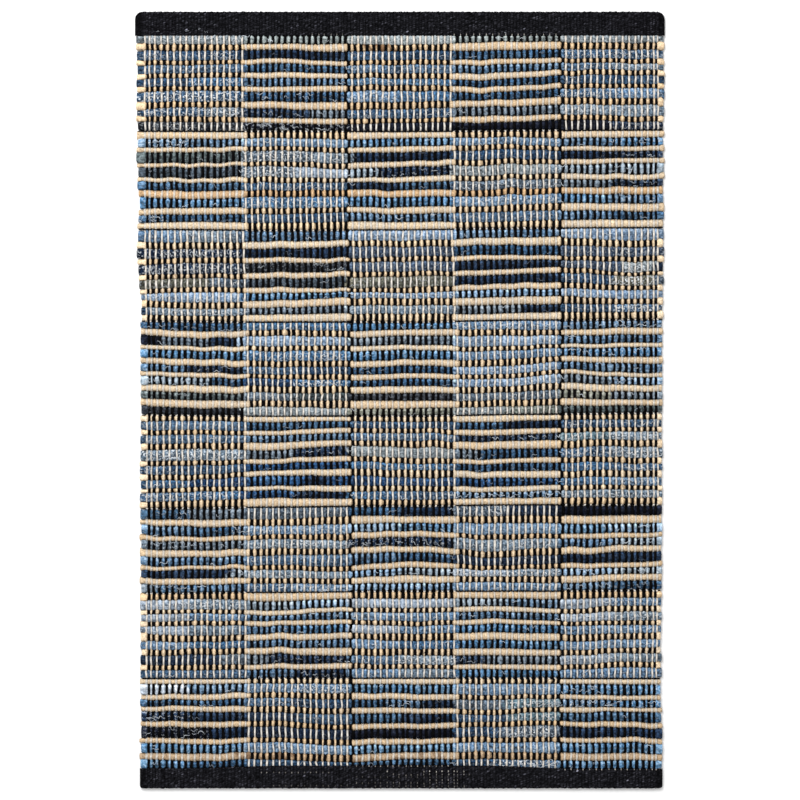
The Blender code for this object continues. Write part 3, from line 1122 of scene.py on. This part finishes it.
def thread_points(centres, half_widths):
    """Three-sided tubes around level centre lines, drawn in at their tips."""
    ahead = np.gradient(centres, axis=1)
    ahead[..., 2] = 0.0
    ahead /= np.maximum(np.linalg.norm(ahead, axis=-1, keepdims=True), 1e-9)
    side = np.stack([-ahead[..., 1], ahead[..., 0], np.zeros_like(ahead[..., 0])], axis=-1)
    up = np.array([0.0, 0.0, 1.0])
    taper = np.ones(THREAD_RINGS)
    taper[[0, -1]] = THREAD_TIP
    size = half_widths[:, None, None] * taper[None, :, None]
    return np.stack([centres + (side * wide + up * high) * size for wide, high in THREAD_SECTION], axis=2)


def build_threads(material):
    rng = np.random.default_rng(82)
    centres, colours = thread_centres()
    half_widths = rng.uniform(*THREAD_HALF_WIDTH, len(centres))
    half_widths[-len(HEM_CURLS) :] = HEM_CURL_HALF_WIDTH
    points = thread_points(centres, half_widths)
    shades = colours[:, None] * varied(rng, THREAD_MOTTLE, points.shape[:2])[..., None]
    shades = np.broadcast_to(shades[:, :, None], points.shape)
    return add_tubes("frayed_threads", points, shades, material)


# ---------- materials

# Noises are given by features for each metre, stretch along each axis, and detail.
FINE_THREADS = (1300.0, (0.5, 1.0, 1.0), 4.0)
FLECKS = (450.0, (0.7, 1.0, 1.0), 3.0)
FLECK_EDGE = (0.56, 0.62)
COTTON_STRANDS = (900.0, (1.0, 0.6, 1.0), 3.0)
DENIM_MOTTLES = (
    # noise, the least and the most brightness
    ((420.0, (0.55, 1.0, 1.0), 2.0), (0.35, 1.75)),
    ((760.0, (0.70, 1.0, 1.0), 2.0), (0.60, 1.4)),
)
JUTE_MOTTLES = (
    # the same, for its patches and its fibres
    ((560.0, (1.0, 1.0, 1.0), 2.0), (0.76, 1.16)),
    ((1100.0, (0.25, 1.0, 1.0), 3.0), (0.74, 1.20)),
)
# How strong a yarn's bump is, and how deep.
JUTE_BUMP = (0.8, 0.0005)
COTTON_BUMP = (0.5, 0.0003)
# What a noise runs from and to, for the most part.
DENIM_SPAN = (0.38, 0.62)
YARN_SPAN = (0.37, 0.63)
# Over a span of lightness: how much of its saturation mottled denim keeps, and how even it is.
MOTTLE_FADES = ((0.25, 0.60), (1.0, 0.5))
PALE_IS_EVEN = ((0.08, 0.38), (0.15, 0.70))
# The numbers of the colour sockets on a mix node.
MIX_FIRST, MIX_SECOND, MIX_RESULT = 6, 7, 2


def new_material(name, roughness, specular):
    material = bpy.data.materials.new(name)
    material.use_nodes = True
    shader = material.node_tree.nodes["Principled BSDF"]
    shader.inputs["Roughness"].default_value = roughness
    shader.inputs["Specular IOR Level"].default_value = specular
    return material, material.node_tree, shader


def add_node(tree, kind, output, inputs, **settings):
    """One output of a new shader node, whose inputs are set to values or linked to other nodes' outputs."""
    node = tree.nodes.new("ShaderNode" + kind)
    for name, setting in settings.items():
        setattr(node, name, setting)
    for socket, value in inputs.items():
        if isinstance(value, bpy.types.NodeSocket):
            tree.links.new(value, node.inputs[socket])
        else:
            node.inputs[socket].default_value = value
    return node.outputs[output]


def noise(tree, scale, stretch, detail):
    """Noise in the rug's own coordinates."""
    place = add_node(tree, "TexCoord", "Object", {})
    place = add_node(tree, "Mapping", "Vector", {"Vector": place, "Scale": stretch})
    return add_node(tree, "TexNoise", "Fac", {"Vector": place, "Scale": scale, "Detail": detail})


def remap(tree, value, span, results):
    """A value within a span stretched to run from the first result to the second, and no further."""
    limits = dict(zip(("From Min", "From Max", "To Min", "To Max"), span + results))
    return add_node(tree, "MapRange", "Result", {"Value": value, **limits})


def brightened(tree, colour, value):
    """A colour times a number."""
    return add_node(tree, "VectorMath", "Vector", {0: colour, "Scale": value}, operation="SCALE")


def lightness(tree, colour):
    return add_node(tree, "RGBToBW", "Val", {"Color": colour})


def mixed(tree, share, first, second):
    """The colour `first` where share is 0, and `second` where it is 1."""
    inputs = {0: share, MIX_FIRST: first, MIX_SECOND: second}
    return add_node(tree, "Mix", MIX_RESULT, inputs, data_type="RGBA")


def point_shade(tree, output):
    """The Color or the Alpha that the mesh carries at its points."""
    return add_node(tree, "Attribute", output, {}, attribute_name="shade")


def add_bump(tree, shader, value, strength, distance):
    inputs = {"Height": value, "Strength": strength, "Distance": distance}
    tree.links.new(add_node(tree, "Bump", "Normal", inputs), shader.inputs["Normal"])


def denim_material():
    """Worn denim: mottled, the more evenly the paler it is, with pale flecks where its threads fray."""
    material, tree, shader = new_material("denim", 0.9, 0.08)
    plain = point_shade(tree, "Color")
    colour = plain
    for texture, brightness in DENIM_MOTTLES:
        colour = brightened(tree, colour, remap(tree, noise(tree, *texture), DENIM_SPAN, brightness))
    saturation = remap(tree, lightness(tree, colour), *MOTTLE_FADES)
    colour = add_node(tree, "HueSaturation", "Color", {"Saturation": saturation, "Color": colour})
    colour = mixed(tree, remap(tree, lightness(tree, plain), *PALE_IS_EVEN), colour, plain)
    flecks = remap(tree, noise(tree, *FLECKS), FLECK_EDGE, (0.0, 1.0))
    inputs = {0: flecks, 1: point_shade(tree, "Alpha")}
    flecks = add_node(tree, "Math", "Value", inputs, operation="MULTIPLY")
    colour = mixed(tree, flecks, colour, (*linear(THREAD_WHITE), 1.0))
    tree.links.new(colour, shader.inputs["Base Color"])
    add_bump(tree, shader, noise(tree, *FINE_THREADS), 0.8, 0.0006)
    return material


def yarn_material(name, roughness, specular, mottles, bump):
    """Yarn mottled by noises, the last of which is its strands."""
    material, tree, shader = new_material(name, roughness, specular)
    colour = point_shade(tree, "Color")
    for texture, brightness in mottles:
        strands = noise(tree, *texture)
        colour = brightened(tree, colour, remap(tree, strands, YARN_SPAN, brightness))
    tree.links.new(colour, shader.inputs["Base Color"])
    add_bump(tree, shader, strands, *bump)
    return material


def cotton_material(name, specular, brightness):
    """Cotton yarn, with the least and the most brightness of its strands."""
    return yarn_material(name, 0.9, specular, ((COTTON_STRANDS, brightness),), COTTON_BUMP)


# ---------- camera, light and floor

FLOOR_REACH = 4.0
FLOOR_GREY = 0.95
SKY_STRENGTH = 0.70
SOFTBOX_PLACE = (-0.8, 1.5, 2.4)
SOFTBOX_SIZE = 1.6
SOFTBOX_POWER = 80.0
CAMERA_HEIGHT = 3.2
SENSOR_WIDTH = 36.0
# The picture shows this much at the height of the rug's face: 1.17 mm for each of its 800 pixels.
PICTURE_WIDTH = 0.936
FACE_HEIGHT = 0.007


def build_stage():
    floor_mesh = bpy.data.meshes.new("floor")
    corners = [(x * FLOOR_REACH, y * FLOOR_REACH, 0.0) for x, y in ((-1, -1), (1, -1), (1, 1), (-1, 1))]
    floor_mesh.from_pydata(corners, [], [(0, 1, 2, 3)])
    material, tree, shader = new_material("pale_floor", 0.9, 0.2)
    shader.inputs["Base Color"].default_value = (FLOOR_GREY, FLOOR_GREY, FLOOR_GREY, 1.0)
    floor_mesh.materials.append(material)
    floor = add_object("floor", floor_mesh)


def build_light():
    world = bpy.data.worlds.new("studio")
    world.use_nodes = True
    world.node_tree.nodes["Background"].inputs["Color"].default_value = (1.0, 1.0, 1.0, 1.0)
    world.node_tree.nodes["Background"].inputs["Strength"].default_value = SKY_STRENGTH
    bpy.context.scene.world = world
    lamp = bpy.data.lights.new("softbox", "AREA")
    lamp.size = SOFTBOX_SIZE
    lamp.energy = SOFTBOX_POWER
    softbox = add_object("softbox", lamp)
    softbox.location = SOFTBOX_PLACE
    softbox.rotation_euler = (-softbox.location).to_track_quat("-Z", "Y").to_euler()


def build_camera():
    """Straight above."""
    lens = bpy.data.cameras.new("overhead")
    lens.sensor_width = SENSOR_WIDTH
    lens.lens = SENSOR_WIDTH * (CAMERA_HEIGHT - FACE_HEIGHT) / PICTURE_WIDTH
    camera = add_object("overhead", lens)
    camera.location = (0.0, 0.0, CAMERA_HEIGHT)
    bpy.context.scene.camera = camera


def build_rug():
    black = cotton_material("black_cotton", 0.03, (0.4, 1.8))
    cream = cotton_material("cream_cotton", 0.10, (0.82, 1.12))
    pieces = build_strips("denim", DENIM_PICKS, rag_shades, denim_material(), (21, 31))
    jute = yarn_material("jute", 0.85, 0.10, JUTE_MOTTLES, JUTE_BUMP)
    pieces += build_strips("jute", JUTE_PICKS, jute_shades, jute, (41, 51))
    pieces.append(build_dividers(black))
    pieces.append(build_warps("c", "cream_warps", CREAM_COLOUR, 0.05, cream, 71))
    pieces += build_hems(black)
    pieces.append(build_hem_dots(cream))
    pieces.append(build_threads(cotton_material("frayed_cotton", 0.10, (0.85, 1.12))))
    warps = build_warps("k", "black_warps", BLACK_COLOUR, 0.25, black, 72)


bpy.context.scene.view_settings.view_transform = "Standard"
build_camera()
build_light()
build_stage()
build_rug()
